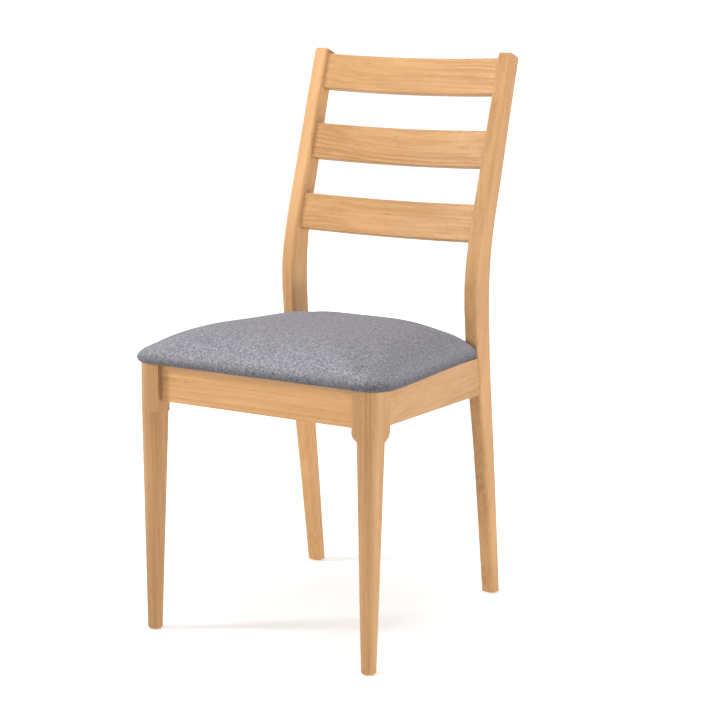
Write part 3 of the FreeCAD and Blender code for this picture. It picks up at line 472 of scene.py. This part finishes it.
def pad_outline(inset, radius, count):
    """count points round the pad, drawn in by inset, each side sharing them evenly."""
    slant = inset * math.hypot(1, PAD_TAPER)
    corners = []
    for along in (inset, PAD_LENGTH - inset):
        corners.append((PAD_HALF_FRONT - PAD_TAPER * along - slant, along))
    (wide, front), (narrow, rear) = corners
    corners = [Vector(c) for c in ((-wide, front), (wide, front), (narrow, rear), (-narrow, rear))]
    arcs = []
    for i, corner in enumerate(corners):
        before = (corners[i - 1] - corner).normalized()
        after = (corners[(i + 1) % 4] - corner).normalized()
        half_angle = before.angle(after) / 2
        centre = corner + (before + after).normalized() * radius / math.sin(half_angle)
        start = corner + before * radius / math.tan(half_angle)
        stop = corner + after * radius / math.tan(half_angle)
        first = math.atan2(start.y - centre.y, start.x - centre.x)
        sweep = math.pi - 2 * half_angle
        arcs.append((centre, first, sweep, start, stop))
    points = []
    per_side = count // 4
    for i in range(4):
        centre, first, sweep, _, leave = arcs[i]
        next_centre, next_first, next_sweep, arrive, _ = arcs[(i + 1) % 4]
        half_arc = radius * sweep / 2
        half_next = radius * next_sweep / 2
        straight = (arrive - leave).length
        total = half_arc + straight + half_next
        for j in range(per_side):
            run = total * j / per_side
            if run < half_arc:
                angle = first + sweep / 2 + run / radius
                points.append(centre + radius * Vector((math.cos(angle), math.sin(angle))))
            elif run < half_arc + straight:
                points.append(leave.lerp(arrive, (run - half_arc) / straight))
            else:
                angle = next_first + (run - half_arc - straight) / radius
                points.append(next_centre + radius * Vector((math.cos(angle), math.sin(angle))))
    return points


def clear_of_posts(point, height, extra=0.0):
    """Draws a point in towards the middle of the pad, out of the notches round the posts."""
    near = NOTCH_ACROSS - extra
    front = NOTCH_ALONG - NOTCH_LEAN * height - extra
    if abs(point.x) <= near or point.y <= front:
        return point
    share = max(near / abs(point.x), (front - PAD_MIDDLE.y) / (point.y - PAD_MIDDLE.y))
    return Vector((point.x * share, PAD_MIDDLE.y + (point.y - PAD_MIDDLE.y) * share))


def crown_at(share):
    """Height, inset and corner radius at a share of the way from the widest line to the crown."""
    rows = np.array(CROWN)
    steps = np.hypot(np.diff(rows[:, 0]), np.diff(rows[:, 1]))
    reach = np.concatenate([[0], np.cumsum(steps)]) / steps.sum()
    slopes = np.gradient(rows, reach, axis=0)
    i = min(int(np.searchsorted(reach, share, side="right")) - 1, len(rows) - 2)
    width = reach[i + 1] - reach[i]
    t = (share - reach[i]) / width
    bases = (
        (1 + 2 * t) * (1 - t) ** 2,
        t * (1 - t) ** 2,
        t * t * (3 - 2 * t),
        t * t * (t - 1),
    )
    row = bases[0] * rows[i] + bases[1] * width * slopes[i]
    row += bases[2] * rows[i + 1] + bases[3] * width * slopes[i + 1]
    return (float(value) for value in row)


def square_ring(k):
    """Cells of a square grid at k steps from its middle, in order round it."""
    if k == 0:
        return [(0, 0)]
    ring = [(i, -k) for i in range(-k, k)]
    ring += [(k, j) for j in range(-k, k)]
    ring += [(i, k) for i in range(k, -k, -1)]
    ring += [(-k, j) for j in range(k, -k, -1)]
    return ring


def pad_top():
    """Points of the padded top by grid cell, and the rings of cells from the middle out."""
    points, rings = {}, []
    flat_rings = round(RINGS * (1 - CROWN_SHARE))
    for k in range(RINGS + 1):
        ring = square_ring(k)
        rings.append(ring)
        if k == 0:
            points[ring[0]] = Vector((PAD_MIDDLE.x, PAD_MIDDLE.y, CROWN[-1][0] + DOME))
            continue
        if k <= flat_rings:
            height, inset, radius = CROWN[-1]
            share = k / flat_rings
            height += DOME * (1 - share * share)
        else:
            share = 1.0
            height, inset, radius = crown_at((RINGS - k) / (RINGS - flat_rings))
        middle = Vector((PAD_MIDDLE.x, PAD_MIDDLE.y))
        for cell, spot in zip(ring, pad_outline(inset, radius, 8 * k)):
            spot = middle.lerp(spot, share)
            spot = clear_of_posts(spot, height)
            points[cell] = Vector((spot.x, spot.y, height))
    return points, rings


def pad_skin():
    """The outer skin: padded top, rolled edge and the lap under the board, open in the middle."""
    points, rings = pad_top()
    order, vertices = {}, []
    for ring in rings:
        for cell in ring:
            order[cell] = len(vertices)
            vertices.append(points[cell])
    faces = []
    for i in range(-RINGS, RINGS):
        for j in range(-RINGS, RINGS):
            faces.append([order[c] for c in ((i, j), (i + 1, j), (i + 1, j + 1), (i, j + 1))])
    edge = [order[c] for c in rings[-1]]
    loops = [edge]
    for height, inset, radius in UNDERSIDE:
        clearance = inset if inset > LAP_STARTS else 0.0
        loops.append(add_loop(vertices, height, inset, radius, EDGE_POINTS, clearance))
    for upper, lower in zip(loops, loops[1:]):
        faces += bridge(upper, lower)
    return vertices, faces, loops[-1]


def add_loop(vertices, height, inset, radius, count, clearance=0.0):
    """One more ring of points round the pad; clearance keeps it further from the posts."""
    start = len(vertices)
    for spot in pad_outline(inset, radius, count):
        spot = clear_of_posts(spot, height, clearance)
        vertices.append(Vector((spot.x, spot.y, height)))
    return list(range(start, start + count))


def bridge(upper, lower):
    count = len(upper)
    return [[upper[i], lower[i], lower[(i + 1) % count], upper[(i + 1) % count]] for i in range(count)]


def close_inside(vertices, faces, lap_edge):
    """Inner faces: over the lap, round the board and across its top, so that the form is closed."""
    count = len(lap_edge)
    fabric_top = BOARD_LOW - LAP_GAP
    foam_low = BOARD_HIGH + BOARD_GAP
    pocket = BOARD_INSET - POCKET_GAP
    rows = (
        (fabric_top * 0.6, COVER_LAP + 0.0002, 0.008),
        (fabric_top, COVER_LAP - 0.0004, 0.008),
        (fabric_top, 0.0270, 0.022),
        (fabric_top, pocket, 0.027),
        (foam_low, pocket, 0.027),
        (foam_low, 0.0300, 0.020),
        (foam_low, 0.0900, 0.020),
    )
    last = lap_edge
    for height, inset, radius in rows:
        loop = add_loop(vertices, height, inset, radius, count, min(inset, MOST_CLEARANCE))
        faces += bridge(last, loop)
        last = loop
    middle = len(vertices)
    vertices.append(Vector((PAD_MIDDLE.x, PAD_MIDDLE.y, foam_low)))
    for i in range(count):
        faces.append([last[i], middle, last[(i + 1) % count]])


START_LOWER = 0.0021  # before it swells, at the crown
START_WIDER = 0.0014  # before the cover draws tight, at the edge
SWELL_MOST = 0.0030
SWELL_STEPS = 20
SMOOTHING_ROUNDS = 10
UNDER_HELD, ROLL_HELD = 1.0, 0.7  # how firmly the lap and the rolled edge are held
LEAST_SPREAD_FROM = 0.15  # nearer to the middle than this the pad is widened less


def evened(moves, edges, rounds=SMOOTHING_ROUNDS):
    """Evens out how far neighbouring points move, so that no single point makes a dent."""
    for _ in range(rounds):
        total, count = np.zeros_like(moves), np.zeros((len(moves), 1))
        for here, there in ((0, 1), (1, 0)):
            np.add.at(total, edges[:, here], moves[edges[:, there]])
            np.add.at(count, edges[:, here], 1)
        moves = (moves + total / count) / 2
    return moves


def inflate(piece, pinned, most):
    """Lets the cover swell under pressure, as foam fills it, and caps how far a point moves."""
    group = piece.vertex_groups.new(name="held")
    for index, weight in pinned.items():
        group.add([index], weight, "REPLACE")
    cloth = piece.modifiers.new("cover", "CLOTH")
    settings = cloth.settings
    settings.quality = 6
    settings.mass = 0.25
    settings.tension_stiffness = 22
    settings.compression_stiffness = 14
    settings.shear_stiffness = 6
    settings.bending_stiffness = 1.2
    settings.use_pressure = True
    settings.uniform_pressure_force = 4.0
    settings.vertex_group_mass = "held"
    settings.effector_weights.gravity = 0
    cloth.collision_settings.use_self_collision = False
    cloth.collision_settings.use_collision = False
    scene = bpy.context.scene
    rest = np.array([v.co for v in piece.data.vertices])
    for step in range(SWELL_STEPS):
        scene.frame_set(step + 1)
    swollen = piece.evaluated_get(bpy.context.evaluated_depsgraph_get()).data
    moved = np.array([v.co for v in swollen.vertices]) - rest
    far = np.linalg.norm(moved, axis=1, keepdims=True)
    capped = moved * (most * np.tanh(far / most) / np.maximum(far, 1e-9))
    capped = evened(capped, np.array([edge.vertices for edge in piece.data.edges]))
    piece.modifiers.remove(cloth)
    piece.vertex_groups.clear()
    scene.frame_set(1)
    piece.data.vertices.foreach_set("co", (rest + capped).astype(np.float32).ravel())
    piece.data.update()


def before_swelling(vertices):
    """The pad before it swells and its cover draws tight: a little lower and wider."""
    made = []
    for v in vertices:
        lift = min(1.0, max(0.0, v.z - CROWN[0][0]) / 0.030)
        rear = min(1.0, max(0.0, v.y / PAD_LENGTH - 0.5) * 2.5)
        height = v.z - START_LOWER * lift * (1 - rear)
        spread = START_WIDER * min(1.0, max(0.0, v.z) / 0.006)
        flat = Vector((v.x, v.y - PAD_MIDDLE.y))
        flat *= 1 + spread / max(flat.length, LEAST_SPREAD_FROM)
        made.append(Vector((flat.x, flat.y + PAD_MIDDLE.y, height)))
    return made


def build_cushion():
    """The padded seat: crowned, swollen, hollow for the board, and laid on the sloping frame."""
    vertices, faces, lap_edge = pad_skin()
    mesh = bpy.data.meshes.new("seat_cushion")
    mesh.from_pydata(before_swelling(vertices), [], faces)
    piece = bpy.data.objects.new("seat_cushion", mesh)
    bpy.context.scene.collection.objects.link(piece)
    mesh.update()
    pinned = {}
    for index in range(TOP_POINTS, len(mesh.vertices)):
        on_roll = index < TOP_POINTS + EDGE_POINTS
        pinned[index] = ROLL_HELD if on_roll else UNDER_HELD
    inflate(piece, pinned, SWELL_MOST)
    made = [v.co.copy() for v in mesh.vertices]
    settle_round_posts(made)
    close_inside(made, faces, lap_edge)
    mesh.clear_geometry()
    mesh.from_pydata(made, [], faces)
    mesh.validate()
    for polygon in mesh.polygons:
        polygon.use_smooth = True
    mesh.transform(seat_place)
    mesh.update()
    smooth = piece.modifiers.new("smooth", "SUBSURF")
    smooth.levels = smooth.render_levels = 1
    return piece


def settle_round_posts(points):
    """Fabric that swelled into a rear post lies against it instead."""
    for v in points:
        front = NOTCH_ALONG - NOTCH_LEAN * v.z
        into_side = abs(v.x) - NOTCH_ACROSS
        into_front = v.y - front
        if into_side > 0 and into_front > 0:
            if into_side < into_front:
                v.x = math.copysign(NOTCH_ACROSS, v.x)
            else:
                v.y = front


cushion = build_cushion()
cushion.data.materials.append(woven_fabric("cover_fabric", seat_middle_height))
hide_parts("seat_cover", "seat_foam")
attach(cushion, BODY)
finish_node("seat_board", plywood("plywood", SEAT_SLOPE))

# --------------------------------------------------------------------------
# Floor, light and camera
# --------------------------------------------------------------------------
FLOOR_REACH = 60.0
FLOOR_GLOW = 0.9
HORIZON_BAND = (0.10, 0.30)  # rise of the direction over which the white band fades
CAMERA_PLACE = (1.44163, -2.43873, 0.94727)
CAMERA_HEADING, CAMERA_PITCH, CAMERA_ROLL = 29.95, 10.707, 0.811  # degrees
CAMERA_LENS, CAMERA_SENSOR = 92.82, 36.0  # mm


def build_floor():
    """A wide pale floor, level with the underside of the feet."""
    mesh = bpy.data.meshes.new("studio_floor")
    corners = [(x * FLOOR_REACH, y * FLOOR_REACH, cad_low.z) for x, y in ((-1, -1), (1, -1), (1, 1), (-1, 1))]
    mesh.from_pydata(corners, [], [(0, 1, 2, 3)])
    floor = bpy.data.objects.new("studio_floor", mesh)
    bpy.context.scene.collection.objects.link(floor)
    g = Graph("floor_paint")
    place = g.place()
    tone = g.remap(g.noise(place, 3.0, 3.0), 0.3, 0.7, 0.0, 1.0)
    colour = g.mix(tone, (0.74, 0.74, 0.74, 1.0), (0.76, 0.76, 0.755, 1.0))
    away = g.add("ShaderNodeVectorMath", {0: place}, operation="LENGTH").outputs["Value"]
    glow = g.remap(away, 0.5, 3.0, 0.52, 1.0, smooth=True)
    mesh.materials.append(
        g.finish(
            Base_Color=colour,
            Roughness=0.75,
            Specular_IOR_Level=0.1,
            Emission_Color=g.grey(glow),
            Emission_Strength=FLOOR_GLOW,
        )
    )


def softbox(name, azimuth, elevation, distance, size, power):
    """A rectangular soft light aimed at the middle of the chair.

    Azimuth 0 is before the chair, and grows towards the viewer's right.
    """
    light = bpy.data.lights.new(name, "AREA")
    light.shape = "RECTANGLE"
    light.size, light.size_y = size
    light.energy = power
    holder = bpy.data.objects.new(name, light)
    bpy.context.scene.collection.objects.link(holder)
    middle = (cad_low + cad_high) / 2
    turn, rise = math.radians(azimuth), math.radians(elevation)
    outward = Vector((math.sin(turn) * math.cos(rise), -math.cos(turn) * math.cos(rise), math.sin(rise)))
    holder.location = middle + outward * distance
    holder.rotation_euler = outward.to_track_quat("Z", "Y").to_euler()
    holder.visible_camera = False


def build_world(above, horizon):
    """Even light from above, with a white band at the horizon that meets the floor."""
    world = bpy.data.worlds.new("studio")
    bpy.context.scene.world = world
    world.use_nodes = True
    tree = world.node_tree
    direction = tree.nodes.new("ShaderNodeTexCoord").outputs["Generated"]
    rise = tree.nodes.new("ShaderNodeSeparateXYZ")
    tree.links.new(direction, rise.inputs[0])
    level = tree.nodes.new("ShaderNodeMapRange")
    level.clamp = True
    tree.links.new(rise.outputs[2], level.inputs["Value"])
    bottom, top = HORIZON_BAND
    for socket, value in (("From Min", bottom), ("From Max", top), ("To Min", horizon), ("To Max", above)):
        level.inputs[socket].default_value = value
    tree.links.new(level.outputs[0], tree.nodes["Background"].inputs["Strength"])
    tree.nodes["Background"].inputs["Color"].default_value = (1.0, 1.0, 1.0, 1.0)


def build_camera():
    data = bpy.data.cameras.new("camera")
    data.lens = CAMERA_LENS
    data.sensor_width = CAMERA_SENSOR
    data.clip_start, data.clip_end = 0.1, 60.0
    camera = bpy.data.objects.new("camera", data)
    bpy.context.scene.collection.objects.link(camera)
    heading = Matrix.Rotation(math.radians(CAMERA_HEADING), 4, "Z")
    pitch = Matrix.Rotation(math.radians(90 - CAMERA_PITCH), 4, "X")
    roll = Matrix.Rotation(math.radians(CAMERA_ROLL), 4, "Z")
    camera.matrix_world = Matrix.Translation(CAMERA_PLACE) @ heading @ pitch @ roll
    bpy.context.scene.camera = camera


build_floor()
build_world(0.25, 1.0)
softbox("key", -53, 24, 4.5, (0.8, 1.0), 140)
softbox("front", -8, 12, 4.2, (2.2, 2.0), 33)
softbox("side", 92, -8, 2.2, (1.3, 0.22), 38)
softbox("top", 10, 84, 2.6, (1.6, 1.6), 64)
build_camera()
bpy.context.scene.view_settings.view_transform = "Standard"
